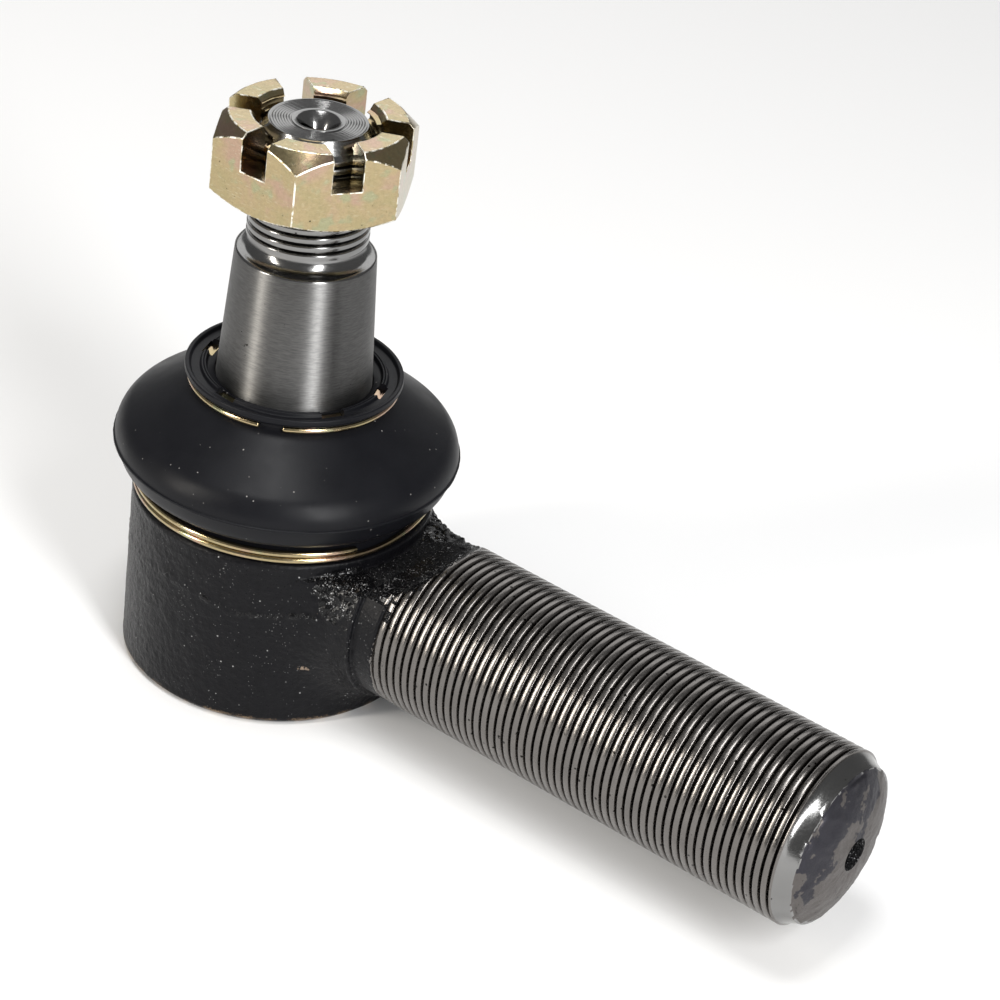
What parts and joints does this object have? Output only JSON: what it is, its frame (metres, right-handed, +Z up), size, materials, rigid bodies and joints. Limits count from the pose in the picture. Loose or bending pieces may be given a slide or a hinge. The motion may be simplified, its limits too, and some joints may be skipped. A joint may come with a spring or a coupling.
{
  "type": "tie rod end",
  "caption": "Outer tie rod end with a forged eye and threaded shank, a sealed ball stud with a taper and castle nut, and a clipped rubber dust boot.",
  "frame": {"origin": "middle of the housing's underside, on the stud axis at rest, at the outer face of the end cover's boss", "axes": "+Z up the stud axis from the underside to the castle nut, +X along the threaded shank to its end face"},
  "size_m": [0.147, 0.0584, 0.1005],
  "materials": {
    "painted_forging": "satin black paint over a rough forging",
    "ground_steel": "ground steel with a light oil film",
    "yellow_zinc": "yellow passivated zinc plating",
    "boot_rubber": "matte black moulded rubber",
    "seal_rubber": "smooth black rubber",
    "seat_resin": "natural bearing resin",
    "spring_steel": "dark hardened steel"
  },
  "bodies": {
    "housing_body": {"housing": "painted_forging", "upper_ball_seat": "seat_resin", "lower_ball_seat": "seat_resin", "preload_spring": "spring_steel", "end_cover": "yellow_zinc", "cover_seal": "seal_rubber", "cover_snap_ring": "spring_steel", "boot_lower_clip": "yellow_zinc"},
    "boot_body": {"dust_boot": "boot_rubber"},
    "lip_body": {"boot_lip_insert": "yellow_zinc", "boot_upper_clip": "yellow_zinc"},
    "stud_body": {"ball_stud": "ground_steel", "castle_nut": "yellow_zinc"}
  },
  "joints": [
    {"name": "stud_swivel", "type": "hinge", "parent": "housing_body", "child": "boot_body", "pos_m": [0, 0, 0.021], "axis": [0, 0, 1], "continuous": true},
    {"name": "stud_tilt", "type": "hinge", "parent": "boot_body", "child": "lip_body", "pos_m": [0, 0, 0.021], "axis": [0, 1, 0], "range_deg": [-20, 20], "deforming": ["dust_boot"]},
    {"name": "stud_spin", "type": "hinge", "parent": "lip_body", "child": "stud_body", "pos_m": [0, 0, 0.021], "axis": [0, 0, 1], "continuous": true}
  ]
}
